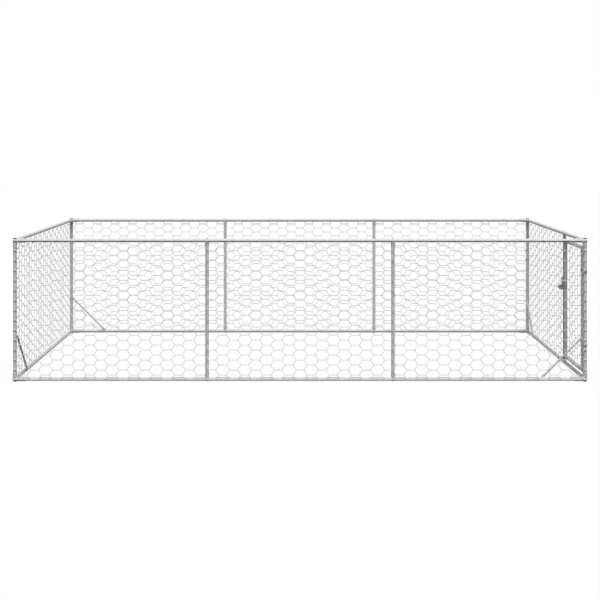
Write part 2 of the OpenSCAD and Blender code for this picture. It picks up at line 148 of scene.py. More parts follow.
def endTree(tree, shape, given, result):
    tree.links.new(firstOut(tree, "GeometryNodeSetMaterial", Geometry=shape,
                            Material=given["Material"]), result)


def join(tree, *shapes):
    made = tree.nodes.new("GeometryNodeJoinGeometry")
    for shape in shapes:
        tree.links.new(shape, made.inputs[0])
    return made.outputs[0]


def geometryOf(tree, source):
    info = addNode(tree, "GeometryNodeObjectInfo", {"transform_space": "ORIGINAL"}, Object=source)
    return info.outputs["Geometry"]


def trim(tree, curve, mode, start, end):
    # both modes have sockets named Start and End, so they are found by their places
    places = {"FACTOR": (2, 3), "LENGTH": (4, 5)}[mode]
    cut = addNode(tree, "GeometryNodeTrimCurve", {"mode": mode}, Curve=curve)
    for place, value in zip(places, (start, end)):
        put(tree, cut.inputs[place], value)
    return cut.outputs[0]


def roundProfile(tree, sides, radius):
    return firstOut(tree, "GeometryNodeCurvePrimitiveCircle", Resolution=sides, Radius=radius)


def thicken(tree, curve, profile):
    return firstOut(tree, "GeometryNodeCurveToMesh", Curve=curve, Profile_Curve=profile,
                    Fill_Caps=True)


def storedVector(tree, label):
    return firstOut(tree, "GeometryNodeInputNamedAttribute", {"data_type": "FLOAT_VECTOR"},
                    Name=label)


def onSpots(tree, given, shape, rotation):
    spots = firstOut(tree, "GeometryNodeMeshToPoints", Mesh=given["Geometry"])
    placed = firstOut(tree, "GeometryNodeInstanceOnPoints", Points=spots, Instance=shape,
                      Rotation=rotation)
    return firstOut(tree, "GeometryNodeRealizeInstances", Geometry=placed)


def spotMesh(name, spots, *labels):
    # a point at each spot's place, with the vectors that follow it stored under the labels
    base = bpy.data.meshes.new(name + "Spots")
    base.from_pydata([spot[0] for spot in spots], [], [])
    for k, label in enumerate(labels, 1):
        stored = base.attributes.new(label, "FLOAT_VECTOR", "POINT")
        for item, spot in zip(stored.data, spots):
            item.vector = spot[k]
    return base


def socketValues(look):
    # a dictionary's values under the names of a tree's sockets: wireRadius becomes Wire Radius
    names = ("".join(" " + c if c.isupper() else c for c in key).title() for key in look)
    return dict(zip(names, look.values()))


def grow(name, tree, values, base=None):
    # runs a tree on an object of its own and keeps the result as a plain mesh
    piece = addObject(name, base or bpy.data.meshes.new(name))
    modifier = piece.modifiers.new(tree.name, "NODES")
    modifier.node_group = tree
    for item in tree.interface.items_tree:
        if item.in_out == "INPUT" and item.name in values:
            modifier[item.identifier] = values[item.name]
    graph = bpy.context.evaluated_depsgraph_get()
    mesh = bpy.data.meshes.new_from_object(piece.evaluated_get(graph))
    piece.modifiers.clear()
    piece.data = mesh
    mesh.name = name
    print(name, "faces:", len(mesh.polygons))
    return piece


# finishes

zinc = {
    "flakeShare": 0.55,       # of the spangles in the colour
    "patchShare": 0.45,       # of the wide patches
    "patchDetail": 4.0,
    "deepAt": 0.2,            # blends of the two that have the deepest and the palest colour
    "paleAt": 0.8,
    "bumpDepth": 0.0004,
}
plastic = {"cloudDetail": 5.0, "deepAt": 0.0, "paleAt": 1.0, "bumpDepth": 0.0003}
grainDetail = 2.0


def newFinish(name):
    finish = bpy.data.materials.new(name)
    finish.use_nodes = True
    tree = finish.node_tree
    return finish, tree, tree.nodes["Principled BSDF"]


def noise(tree, place, scale, detail):
    return firstOut(tree, "ShaderNodeTexNoise", Vector=place, Scale=scale, Detail=detail)


def dress(tree, shader, place, kind, look, blend, unevenness):
    # colour by the blend, roughness by the unevenness, and fine grain as bump
    ramp = tree.nodes.new("ShaderNodeValToRGB")
    for stop, tone in zip(ramp.color_ramp.elements, ("deep", "pale")):
        stop.position = kind[tone + "At"]
        stop.color = (*look[tone], 1)
    put(tree, ramp.inputs[0], blend)
    low, high = look["rough"]
    rough = firstOut(tree, "ShaderNodeMapRange", Value=unevenness, To_Min=low, To_Max=high)
    bump = firstOut(tree, "ShaderNodeBump", Strength=look["bump"], Distance=kind["bumpDepth"],
                    Height=noise(tree, place, look["grain"], grainDetail))
    put(tree, shader.inputs["Base Color"], ramp.outputs[0])
    put(tree, shader.inputs["Roughness"], rough)
    put(tree, shader.inputs["Normal"], bump)


def galvanisedFinish(name, look):
    finish, tree, shader = newFinish(name)
    place = tree.nodes.new("ShaderNodeTexCoord").outputs["Object"]
    spangle = addNode(tree, "ShaderNodeTexVoronoi", Vector=place, Scale=look["spangle"])
    flake = firstOut(tree, "ShaderNodeSeparateColor", Color=spangle.outputs["Color"])
    patch = noise(tree, place, look["patch"], zinc["patchDetail"])
    blend = calc(tree, "ADD", calc(tree, "MULTIPLY", flake, zinc["flakeShare"]),
                 calc(tree, "MULTIPLY", patch, zinc["patchShare"]))
    dress(tree, shader, place, zinc, look, blend, flake)
    shader.inputs["Metallic"].default_value = look["metal"]
    shader.inputs["Specular IOR Level"].default_value = look["shine"]
    return finish


def plasticFinish(name, look):
    finish, tree, shader = newFinish(name)
    place = tree.nodes.new("ShaderNodeTexCoord").outputs["Object"]
    cloud = noise(tree, place, look["cloud"], plastic["cloudDetail"])
    dress(tree, shader, place, plastic, look, cloud, cloud)
    return finish


tubeFinish = galvanisedFinish("galvanisedTube", {
    "pale": (0.79, 0.795, 0.80), "deep": (0.63, 0.635, 0.645), "metal": 0.03, "shine": 0.1,
    "spangle": 110.0, "patch": 6.0, "grain": 900.0, "rough": (0.34, 0.46), "bump": 0.12,
})
fittingFinish = galvanisedFinish("galvanisedFitting", {
    "pale": (0.75, 0.755, 0.76), "deep": (0.60, 0.605, 0.615), "metal": 0.03, "shine": 0.1,
    "spangle": 160.0, "patch": 12.0, "grain": 700.0, "rough": (0.40, 0.55), "bump": 0.2,
})
# the latch parts: a darker copy of the galvanised fitting finish, painted shade that stands in for
# the shadows round the latch
paintedShadeLatchFinish = galvanisedFinish("galvanisedLatchPaintedShade", {
    "pale": (0.42, 0.425, 0.43), "deep": (0.33, 0.335, 0.34), "metal": 0.04, "shine": 0.1,
    "spangle": 160.0, "patch": 12.0, "grain": 700.0, "rough": (0.40, 0.55), "bump": 0.2,
})
wireFinish = galvanisedFinish("nettingWire", {
    "pale": (0.90, 0.905, 0.91), "deep": (0.80, 0.805, 0.81), "metal": 0.02, "shine": 0.2,
    "spangle": 240.0, "patch": 9.0, "grain": 1500.0, "rough": (0.28, 0.36), "bump": 0.1,
})
tieFinish = galvanisedFinish("tieWire", {
    "pale": (0.88, 0.885, 0.89), "deep": (0.78, 0.785, 0.79), "metal": 0.05, "shine": 0.5,
    "spangle": 240.0, "patch": 40.0, "grain": 1500.0, "rough": (0.28, 0.36), "bump": 0.1,
})
zincFinish = galvanisedFinish("zincFastener", {
    "pale": (0.62, 0.625, 0.63), "deep": (0.44, 0.45, 0.46), "metal": 0.2, "shine": 0.9,
    "spangle": 300.0, "patch": 30.0, "grain": 1200.0, "rough": (0.24, 0.36), "bump": 0.1,
})
screwFinish = galvanisedFinish("zincScrew", {
    "pale": (0.88, 0.885, 0.88), "deep": (0.76, 0.765, 0.77), "metal": 0.1, "shine": 0.9,
    "spangle": 300.0, "patch": 30.0, "grain": 1200.0, "rough": (0.22, 0.32), "bump": 0.1,
})
plugFinish = plasticFinish("darkPlug", {
    "pale": (0.052, 0.052, 0.055), "deep": (0.028, 0.028, 0.030),
    "cloud": 60.0, "grain": 1400.0, "rough": (0.42, 0.58), "bump": 0.2,
})

finishOfSlot = {
    "galvanised_tube": tubeFinish,
    "galvanised_fittings": fittingFinish,
    "netting_wire": wireFinish,
    "zinc_fasteners": zincFinish,
    "dark_plugs": plugFinish,
}
for part in frame["record"]["subparts"]:
    solid = cadNodes[part["node"]].data
    solid.materials.clear()
    # latch parts take the darker finish with its painted shade, the rest take their slot's finish
    latch = part["node"].startswith("latch_")
    solid.materials.append(paintedShadeLatchFinish if latch else finishOfSlot[part["material_slot"]])
print("finishes on the frame")


netting = {
    "wireRadius": 0.0018,
    "wireSides": 4,
    "twist": 0.0535,          # length of a twist
    "halfGap": 0.0016,        # strand centre from the middle of its twist
    "turns": 1.5,
    "turnSteps": 6,
    "slantPoints": 3,
    "offset": 0.0157,         # middle of the netting from the axes of the tubes
    "push": 0.0034,           # how far the fittings under it push it out
    "pushNear": 0.0165,       # distance from a fitting's axis where the push is full
    "pushFar": 0.024,         # and where it ends
    "selvedgeRadius": 0.0016,
    "selvedgeSides": 6,
    "selvedgeStep": 0.008,
    "low": 0.0140,
    "high": 0.9832,
    "rows": 14,
    "pitch": 0.07698,         # from column to column
    "knownX": -0.615,         # a column that the photograph shows beside the left mid post
    "firstTurn": 40.0,        # degrees of the roll's start round the front right post
    "lastTurn": 40.0,         # degrees of its end round the door post
    "leastCut": 0.008,        # shortest twist that is left where the roll is cut
    "arcSteps": 10,
}
doorNet = {"turn": 18.0, "rows": 12, "columns": 7, "arcSteps": 4}

# how far the things under the netting reach along the tubes
bulges = {
    "saddle": (0.012, 0.044),  # from a rail's axis along its post, start and end
    "sleeve": 0.07,            # of a corner fitting along a rail
    "socket": 0.044,           # of a corner fitting along the post
    "lockScrew": 0.003,        # to both sides of a mid post's axis
    "strap": 0.013,            # of a hinge, down the post and up the stile
    "latch": (0.017, 0.029),   # of the guide and the keeper, below and above the bolt
}


def arcPoints(centre, start, sweep, steps):
    # points on the netting's line round a tube, by compass angles in degrees
    points = []
    for k in range(steps + 1):
        a = math.radians(start + sweep * k / steps)
        points.append(centre + netting["offset"] * Vector((math.cos(a), math.sin(a), 0)))
    return points


def nettingPath(name, points):
    curve = bpy.data.curves.new(name, "CURVE")
    curve.dimensions = "3D"
    spline = curve.splines.new("POLY")
    spline.points.add(len(points) - 1)
    for slot, point in zip(spline.points, points):
        slot.co = (*point, 1)
    return addObject(name, curve)


def pathLength(points):
    return sum((b - a).length for a, b in zip(points, points[1:]))


def fittingAxes():
    # lines along the axes of all that stands out of the tubes under the netting
    lines = []
    doorPost = run["doorPostY"]
    for z, inward in zip(railLevels, inwards):
        low, high = (z + inward * reach for reach in bulges["saddle"])
        for sx, sy in corners:
            corner = Vector((sx * px, sy * py, z))
            lines.append((corner, corner + Vector((-sx * bulges["sleeve"], 0, 0))))
            lines.append((corner, corner + Vector((0, -sy * bulges["sleeve"], 0))))
            lines.append((corner, corner + Vector((0, 0, inward * bulges["socket"]))))
            mid, half = sx * run["midPostX"], bulges["lockScrew"]
            lines.append(((mid - half, sy * py, z), (mid + half, sy * py, z)))
            lines.append(((mid, sy * py, low), (mid, sy * py, high)))
        lines.append(((px, doorPost, low), (px, doorPost, high)))
    for z in run["hingeZ"]:
        stile = run["hingeStileY"]
        lines.append(((px, -py, z - bulges["strap"]), (px, -py, z)))
        lines.append(((px, stile, z), (px, stile, z + bulges["strap"])))
    below, above = bulges["latch"]
    for y in (run["latchStileY"], doorPost):
        lines.append(((px, y, run["latchZ"] - below), (px, y, run["latchZ"] + above)))
    mesh = bpy.data.meshes.new("fittingAxes")
    points = [point for line in lines for point in line]
    mesh.from_pydata(points, [(k, k + 1) for k in range(0, len(points), 2)], [])
    return addObject("fittingAxes", mesh)


def nettingTree():
    tree, given, result = newTree("hexNetting", {
        "Object": ("Path", "Fittings"),
        "Int": ("Columns", "First Column", "Rows"),
        "Float": ("Start", "Pitch", "Low", "Row", "Twist", "Turns", "Half Gap", "Wire Radius",
                  "Selvedge Radius", "Open End", "From", "To", "First Share", "Last Share",
                  "Push", "Push Near", "Push Far"),
        "Material": ("Material",),
    })
    make, do, vec, xyz = toolsFor(tree)
    quarter = 0.25            # steps go in halves, so this tells them apart
    between = 0.5             # and this tells columns apart
    nearlyWhole = 0.999

    # a point for each twist, column by column, with odd columns half a row higher
    perColumn = do("ADD", given["Rows"], 1.0)
    index = make("GeometryNodeInputIndex")
    column = do("FLOOR", do("DIVIDE", index, perColumn))
    level = do("SUBTRACT", index, do("MULTIPLY", column, perColumn))
    number = do("ADD", column, given["First Column"])
    odd = do("MODULO", number, 2.0)
    along = do("ADD", given["Start"], do("MULTIPLY", number, given["Pitch"]))
    step = do("ADD", level, do("MULTIPLY", odd, 0.5))
    up = do("ADD", given["Low"], do("MULTIPLY", step, given["Row"]))
    count = do("MULTIPLY", given["Columns"], perColumn)
    points = make("GeometryNodePoints", Count=count, Position=xyz(along, 0.0, up))

    # which twists stand, and which have slanting wires above and below on their right
    stands = do("LESS_THAN", step, do("ADD", given["Rows"], quarter))
    lastColumn = do("SUBTRACT", do("SUBTRACT", given["Columns"], between), given["Open End"])
    goesOn = do("MULTIPLY", stands, do("LESS_THAN", column, lastColumn))
    underTop = do("LESS_THAN", step, do("SUBTRACT", given["Rows"], quarter))
    hasUp = do("MULTIPLY", goesOn, underTop)
    hasDown = do("MULTIPLY", goesOn, do("GREATER_THAN", step, quarter))

    profile = roundProfile(tree, netting["wireSides"], given["Wire Radius"])
    halfTwist = do("MULTIPLY", given["Twist"], 0.5)
    strand = make("GeometryNodeCurveSpiral", Resolution=netting["turnSteps"],
                  Rotations=given["Turns"], Height=given["Twist"],
                  Start_Radius=given["Half Gap"], End_Radius=given["Half Gap"])
    other = make("GeometryNodeTransform", Geometry=strand, Rotation=(0, 0, math.pi))
    pair = join(tree, strand, other)

    def twist(start, end):
        strands = thicken(tree, trim(tree, pair, "FACTOR", start, end), profile)
        return make("GeometryNodeTransform", Geometry=strands, Rotation=(0, math.pi / 2, 0),
                    Translation=xyz(do("MULTIPLY", halfTwist, -1.0)))

    def scatter(shape, chosen):
        return make("GeometryNodeInstanceOnPoints", Points=points, Selection=chosen,
                    Instance=shape)

    # the roll's first and last twists are cut where it ends on a post
    atFirst = do("LESS_THAN", column, between)
    atLast = do("GREATER_THAN", column, do("SUBTRACT", given["Columns"], 1.0 + between))
    firstCut = do("MULTIPLY", atFirst, do("LESS_THAN", given["First Share"], nearlyWhole))
    lastCut = do("MULTIPLY", atLast, do("LESS_THAN", given["Last Share"], nearlyWhole))
    uncut = do("SUBTRACT", 1.0, do("MAXIMUM", firstCut, lastCut))
    firstBegins = do("SUBTRACT", 1.0, given["First Share"])
    wires = [
        scatter(twist(0.0, 1.0), do("MULTIPLY", stands, uncut)),
        scatter(twist(firstBegins, 1.0), do("MULTIPLY", stands, firstCut)),
        scatter(twist(0.0, given["Last Share"]), do("MULTIPLY", stands, lastCut)),
    ]
    slantEnd = do("SUBTRACT", given["Pitch"], halfTwist)
    rise = do("SUBTRACT", do("MULTIPLY", given["Row"], 0.5), given["Half Gap"])
    for sign, chosen in ((1.0, hasUp), (-1.0, hasDown)):
        start = xyz(halfTwist, 0.0, do("MULTIPLY", given["Half Gap"], sign))
        end = xyz(slantEnd, 0.0, do("MULTIPLY", rise, sign))
        line = make("GeometryNodeCurvePrimitiveLine", Start=start, End=end)
        line = make("GeometryNodeResampleCurve", Curve=line, Count=netting["slantPoints"])
        wires.append(scatter(thicken(tree, line, profile), chosen))
    flat = make("GeometryNodeRealizeInstances", Geometry=join(tree, *wires))

    fittings = geometryOf(tree, given["Fittings"])

    def pushedOut(place, outward):
        near = addNode(tree, "GeometryNodeProximity", {"target_element": "EDGES"})
        put(tree, near.inputs[0], fittings)
        put(tree, next(s for s in near.inputs if "Position" in s.name), place)
        push = make("ShaderNodeMapRange", {"interpolation_type": "SMOOTHSTEP"},
                    Value=near.outputs["Distance"], From_Min=given["Push Near"],
                    From_Max=given["Push Far"], To_Min=given["Push"], To_Max=0.0)
        return vec("ADD", place, vec("MULTIPLY", outward, xyz(push, push, 0.0)))

    def outwardFrom(tangent):
        return vec("NORMALIZE", vec("CROSS_PRODUCT", (0, 0, 1), tangent))

    # the flat netting is laid along the path: x is the way along it, y is outwards
    path = geometryOf(tree, given["Path"])
    here = make("GeometryNodeInputPosition")
    spot = addNode(tree, "ShaderNodeSeparateXYZ", Vector=here).outputs
    sample = addNode(tree, "GeometryNodeSampleCurve", {"mode": "LENGTH"}, Curves=path,
                     Length=spot[0]).outputs
    outward = outwardFrom(sample["Tangent"])
    place = vec("ADD", sample["Position"], vec("MULTIPLY", outward, xyz(spot[1], spot[1], 0.0)))
    place = vec("ADD", place, xyz(0.0, 0.0, spot[2]))
    laid = make("GeometryNodeSetPosition", Geometry=flat, Position=pushedOut(place, outward))

    # edge wires along the bottom and the top
    span = trim(tree, path, "LENGTH", given["From"], given["To"])
    fine = make("GeometryNodeResampleCurve", {"mode": "LENGTH"}, Curve=span,
                Length=netting["selvedgeStep"])
    edgeProfile = roundProfile(tree, netting["selvedgeSides"], given["Selvedge Radius"])
    top = do("ADD", given["Low"], do("MULTIPLY", given["Rows"], given["Row"]))
    away = outwardFrom(make("GeometryNodeInputTangent"))
    pieces = [laid]
    for height in (given["Low"], top):
        raised = pushedOut(vec("ADD", here, xyz(0.0, 0.0, height)), away)
        line = make("GeometryNodeSetPosition", Geometry=fine, Position=raised)
        pieces.append(thicken(tree, line, edgeProfile))
    smooth = make("GeometryNodeSetShadeSmooth", Geometry=join(tree, *pieces))
    final = make("GeometryNodeRealizeInstances", Geometry=smooth)
    endTree(tree, final, given, result)
    return tree


hexTree = nettingTree()
fittingLines = fittingAxes()


def layNetting(name, path, look):
    values = socketValues(netting)
    values.update({"Path": path, "Fittings": fittingLines, "Material": wireFinish,
                   "First Share": 1.0, "Last Share": 1.0})
    values.update(look)
    return grow(name, hexTree, values)


# one roll from the front right post round the front, left and back walls to the door post
arcSteps = netting["arcSteps"]
wallPath = arcPoints(Vector((px, -py, 0)), netting["firstTurn"] - 90, -netting["firstTurn"], arcSteps)
for sx, sy, start in ((-1, -1, -90), (-1, 1, 180), (1, 1, 90)):
    wallPath += arcPoints(Vector((sx * px, sy * py, 0)), start, -90, arcSteps)
wallPath += arcPoints(Vector((px, run["doorPostY"], 0)), 0, -netting["lastTurn"], arcSteps)
wallLine = nettingPath("wallNettingLine", wallPath)
wallLength = pathLength(wallPath)

# columns are counted from the known one, and the roll is cut so that no stub is left
pitch, twistLength = netting["pitch"], netting["twist"]
startTurn = math.radians(netting["firstTurn"]) * netting["offset"]
knownColumn = startTurn + px - netting["knownX"]
spare = twistLength / 2 - netting["leastCut"]
columnsBefore = math.floor((knownColumn + spare) / pitch)
wallStart = knownColumn - pitch * columnsBefore
firstOdd = columnsBefore % 2
columnCount = math.floor((wallLength + spare - wallStart) / pitch) + 1
lastAt = wallStart + (columnCount - 1) * pitch
firstShare = min(1.0, wallStart / twistLength + 0.5)
lastShare = min(1.0, (wallLength - lastAt) / twistLength + 0.5)

# the way along the roll where each wall ends, in the middle of its corner
quarterTurn = math.pi / 2 * netting["offset"]
cornerAt = [0.0, startTurn + 2 * px + quarterTurn / 2]
cornerAt.append(cornerAt[1] + quarterTurn + 2 * py)
cornerAt.append(cornerAt[2] + quarterTurn + 2 * px)
cornerAt.append(wallLength)
columnAt = [0] + [math.ceil((at - wallStart) / pitch) for at in cornerAt[1:-1]] + [columnCount]
rowHeight = (netting["high"] - netting["low"]) / netting["rows"]
for k, wall in enumerate(("front", "left", "back", "right")):
    piece = layNetting(wall + "Netting", wallLine, {
        "Columns": columnAt[k + 1] - columnAt[k], "First Column": columnAt[k] + firstOdd,
        "Start": wallStart - firstOdd * pitch, "Row": rowHeight,
        "From": cornerAt[k], "To": cornerAt[k + 1],
        "Open End": 1.0 if wall == "right" else 0.0,
        "First Share": firstShare if wall == "front" else 1.0,
        "Last Share": lastShare if wall == "right" else 1.0,
    })
    fit(piece, "frame", "netting_wire", wall + "_netting")

arcSteps = doorNet["arcSteps"]
latchStile = Vector((px, run["latchStileY"], 0))
hingeStile = Vector((px, run["hingeStileY"], 0))
doorPath = arcPoints(latchStile, doorNet["turn"], -doorNet["turn"], arcSteps)
doorPath += arcPoints(hingeStile, 0, -doorNet["turn"], arcSteps)
doorLine = nettingPath("doorNettingLine", doorPath)
doorLength = pathLength(doorPath)
doorRow = (run["doorHigh"] - run["doorLow"]) / doorNet["rows"]
piece = layNetting("doorNetting", doorLine, {
    "Columns": doorNet["columns"], "First Column": 0, "Rows": doorNet["rows"],
    "Start": twistLength / 2, "Pitch": (doorLength - twistLength) / (doorNet["columns"] - 1),
    "Low": run["doorLow"], "Row": doorRow, "Open End": 1.0, "From": 0.0, "To": doorLength,
})
fit(piece, "door", "netting_wire", "door_netting")
for line in (wallLine, doorLine, fittingLines):
    bpy.data.objects.remove(line)
print("netting laid, columns:", columnCount,
      "cut twists:", round(firstShare, 2), round(lastShare, 2))


ties = {
    "wireRadius": 0.0008,
    "wireSides": 4,
    "turns": 2.0,
    "turnSteps": 12,
    "spread": 0.0046,         # width of a tie along its tube
    "reach": 0.0066,          # how far it stands off the tube to take in the netting
    "swellPower": 5.0,        # how narrow the part is that stands off
    "clearOfCorner": 0.095,
    "clearOfPost": 0.03,
    "clearOfDoorPost": 0.04,
    "longPhase": -0.617,      # place of a tie on the long rails, the left rails and the right rails
    "leftPhase": -0.05,
    "rightPhase": -0.2,
    "postRows": (3, 6, 9, 12),
    "doorPostLift": 0.02,     # ties on the door post above the level of the others
    "hingePostWay": (0.2, -1, 0),     # to the netting from the front right post
}
doorTies = {"stileRows": (2, 5, 8, 11), "railY": (-0.84, -0.76, -0.6, -0.5)}


def tieTree():
    tree, given, result = newTree("wireTies", {
        "Float": ("Tube Radius", "Turns", "Spread", "Reach", "Wire Radius"),
        "Material": ("Material",),
    })
    make, do, vec, xyz = toolsFor(tree)
    radius = do("ADD", given["Tube Radius"], given["Wire Radius"])
    coil = make("GeometryNodeCurveSpiral", Resolution=ties["turnSteps"], Rotations=given["Turns"],
                Start_Radius=radius, End_Radius=radius, Height=given["Spread"])
    coil = make("GeometryNodeTransform", Geometry=coil, Rotation=(0, 0, math.pi),
                Translation=xyz(0.0, 0.0, do("MULTIPLY", given["Spread"], -0.5)))
    spot = make("GeometryNodeInputPosition")
    facing = do("DIVIDE", make("ShaderNodeSeparateXYZ", Vector=spot), radius)
    swell = do("POWER", do("MAXIMUM", facing, 0.0), ties["swellPower"])
    stretch = do("ADD", do("DIVIDE", do("MULTIPLY", swell, given["Reach"]), radius), 1.0)
    pulled = make("GeometryNodeSetPosition", Geometry=coil,
                  Position=vec("MULTIPLY", spot, xyz(stretch, stretch, 1.0)))
    loop = thicken(tree, pulled, roundProfile(tree, ties["wireSides"], given["Wire Radius"]))
    turn = addNode(tree, "FunctionNodeAxesToRotation",
                   {"primary_axis": "Z", "secondary_axis": "X"})
    for socket, label in zip(turn.inputs, ("along", "outward")):
        put(tree, socket, storedVector(tree, label))
    placed = onSpots(tree, given, loop, turn.outputs[0])
    endTree(tree, make("GeometryNodeSetShadeSmooth", Geometry=placed), given, result)
    return tree


wireTieTree = tieTree()


def windTies(name, body, spots):
    # spots: place on the tube's axis, the way along the tube, and the way to the netting
    values = socketValues(ties)
    values.update({"Tube Radius": run["tubeRadius"], "Material": tieFinish})
    piece = grow(name, wireTieTree, values, spotMesh(name, spots, "along", "outward"))
    fit(piece, body, "netting_wire")


def railTies(axis, fixed, out, start, end, phase, skip=()):
    # at each second column of a top and a bottom rail, where the netting's edge lies on the tube
    spots = []
    gap = 2 * netting["pitch"]
    for k in range(math.ceil((start - phase) / gap), math.ceil((end - phase) / gap)):
        at = phase + k * gap
        if any(abs(at - post) < ties["clearOfPost"] for post in skip):
            continue
        for z, edge in zip(railLevels, (netting["low"], netting["high"])):
            place, along, toNet = [0, 0, z], [0, 0, 0], [0, 0, edge - z]
            place[axis], place[1 - axis] = at, fixed
            along[axis] = 1
            toNet[1 - axis] = out * netting["offset"]
            spots.append((place, along, toNet))
    return spots


def postTies(x, y, outward, levels):
    return [((x, y, z), (0, 0, 1), outward) for z in levels]


clear = ties["clearOfCorner"]
mids = (-run["midPostX"], run["midPostX"])
postLevels = [netting["low"] + row * rowHeight for row in ties["postRows"]]
doorPostLevels = [z + ties["doorPostLift"] for z in postLevels]
doorPostEnd = run["doorPostY"] + ties["clearOfDoorPost"]
spots = []
for side in (-1, 1):
    spots += railTies(0, side * py, side, clear - px, px - clear, ties["longPhase"], mids)
spots += railTies(1, -px, -1, clear - py, py - clear, ties["leftPhase"])
spots += railTies(1, px, 1, doorPostEnd, py - clear, ties["rightPhase"])
for side in (-1, 1):
    for x in mids:
        spots += postTies(x, side * py, (0, side, 0), postLevels)
for sx, sy in ((-1, -1), (-1, 1), (1, 1)):
    spots += postTies(sx * px, sy * py, (sx, sy, 0), postLevels)
spots += postTies(px, -py, ties["hingePostWay"], postLevels)
spots += postTies(px, run["doorPostY"], (1, 0, 0), doorPostLevels)
windTies("frameTies", "frame", spots)

stileLevels = [run["doorLow"] + row * doorRow for row in doorTies["stileRows"]]
spots = []
for y in (run["hingeStileY"], run["latchStileY"]):
    spots += postTies(px, y, (1, 0, 0), stileLevels)
for z in (run["doorLow"], run["doorHigh"]):
    spots += [((px, y, z), (0, 1, 0), (1, 0, 0)) for y in doorTies["railY"]]
windTies("doorTies", "door", spots)
print("ties wound")


screws = {
    "headRadius": 0.004,
    "headHeight": 0.0024,
    "headSegments": 20,
    "headRings": 10,
    "shankRadius": 0.002,
    "shankLength": 0.008,
    "shankSides": 10,
    "shankSink": 0.499,       # middle of the shank below the seat, as a share of its length
    "slotLength": 0.0046,
    "slotWidth": 0.0009,
    "slotDepth": 0.0012,
}


def screwTree():
    tree, given, result = newTree("panHeadScrews", {
        "Float": ("Head Radius", "Head Height", "Shank Radius", "Shank Length",
                  "Slot Length", "Slot Width", "Slot Depth"),
        "Material": ("Material",),
    })
    make, do, _, xyz = toolsFor(tree)
    ball = make("GeometryNodeMeshUVSphere", Segments=screws["headSegments"],
                Rings=screws["headRings"], Radius=1.0)
    here = make("GeometryNodeInputPosition")
    spot = addNode(tree, "ShaderNodeSeparateXYZ", Vector=here).outputs
    dome = xyz(do("MULTIPLY", spot[0], given["Head Radius"]),
               do("MULTIPLY", spot[1], given["Head Radius"]),
               do("MULTIPLY", do("MAXIMUM", spot[2], 0.0), given["Head Height"]))
    head = make("GeometryNodeSetPosition", Geometry=ball, Position=dome)

    # a cross recess, cut by two bars that stand half out of the head
    cross = addNode(tree, "GeometryNodeMeshBoolean",
                    {"operation": "DIFFERENCE", "solver": "EXACT"})
    tree.links.new(head, cross.inputs["Mesh 1"])
    deep = do("MULTIPLY", given["Slot Depth"], 2.0)
    long, narrow = given["Slot Length"], given["Slot Width"]
    for size in ((long, narrow), (narrow, long)):
        bar = make("GeometryNodeMeshCube", Size=xyz(*size, deep))
        bar = make("GeometryNodeTransform", Geometry=bar,
                   Translation=xyz(0.0, 0.0, given["Head Height"]))
        tree.links.new(bar, cross.inputs["Mesh 2"])

    shank = make("GeometryNodeMeshCylinder", Vertices=screws["shankSides"],
                 Radius=given["Shank Radius"], Depth=given["Shank Length"])
    sunk = do("MULTIPLY", given["Shank Length"], -screws["shankSink"])
    shank = make("GeometryNodeTransform", Geometry=shank, Translation=xyz(0.0, 0.0, sunk))
    whole = join(tree, cross.outputs[0], shank)
    turn = make("FunctionNodeAlignRotationToVector", {"axis": "Z"},
                Vector=storedVector(tree, "facing"))
    endTree(tree, onSpots(tree, given, whole, turn), given, result)
    return tree


panHeadTree = screwTree()


def driveScrews(name, body, spots, node):
    # spots: each screw's seat and the way that its head looks, as the solids have them
    values = socketValues(screws)
    values["Material"] = screwFinish
    piece = grow(name, panHeadTree, values, spotMesh(name, spots, "facing"))
    fit(piece, body, "zinc_fasteners", node)


seats = {
    "sleeve": (0.052, 0.0151),        # along the rail, and off its axis
    "socket": (0.0153, 0.032),        # off the post's axis, and from the rail's
    "rail": 0.0126,
    "brace": (0.305, 0.0157),         # along the tubes from the corner, and off the wall's plane
    "strap": 0.0152,
    "hinge": 0.007,                   # from a hinge's middle, down on the post and up on the stile
    "latch": 0.023,                   # above the bolt
}
spots = []
for sx, sy in corners:
    for z, inward in zip(railLevels, inwards):
        along, off = seats["sleeve"]
        spots.append(((sx * (px - along), sy * (py - off), z), (0, -sy, 0)))
        spots.append(((sx * (px - off), sy * (py - along), z), (-sx, 0, 0)))
        off, along = seats["socket"]
        spots.append(((sx * (px - off), sy * py, z + inward * along), (-sx, 0, 0)))
        spots.append(((sx * run["midPostX"], sy * (py + seats["rail"]), z), (0, sy, 0)))
leg, off = seats["brace"]
for sx, sy, inShortWall in ((-1, -1, True), (1, -1, False), (-1, 1, False), (1, 1, True)):
    for along, up in ((0, leg), (leg, 0)):
        z = run["railZ"] + up
        if inShortWall:
            spots.append(((sx * (px - off), sy * (py - along), z), (-sx, 0, 0)))
        else:
            spots.append(((sx * (px - along), sy * (py - off), z), (0, -sy, 0)))
outFront, inSide = -py - seats["strap"], px - seats["strap"]
latchScrewZ = run["latchZ"] + seats["latch"]
hingeScrews = [((px, outFront, z - seats["hinge"]), (0, -1, 0)) for z in run["hingeZ"]]
spots += hingeScrews
spots.append(((inSide, run["doorPostY"], latchScrewZ), (-1, 0, 0)))
driveScrews("frameScrews", "frame", spots, "frame_screws")
spots = [((inSide, run["hingeStileY"], z + seats["hinge"]), (-1, 0, 0)) for z in run["hingeZ"]]
spots.append(((inSide, run["latchStileY"], latchScrewZ), (-1, 0, 0)))
driveScrews("doorScrews", "door", spots, "door_screws")

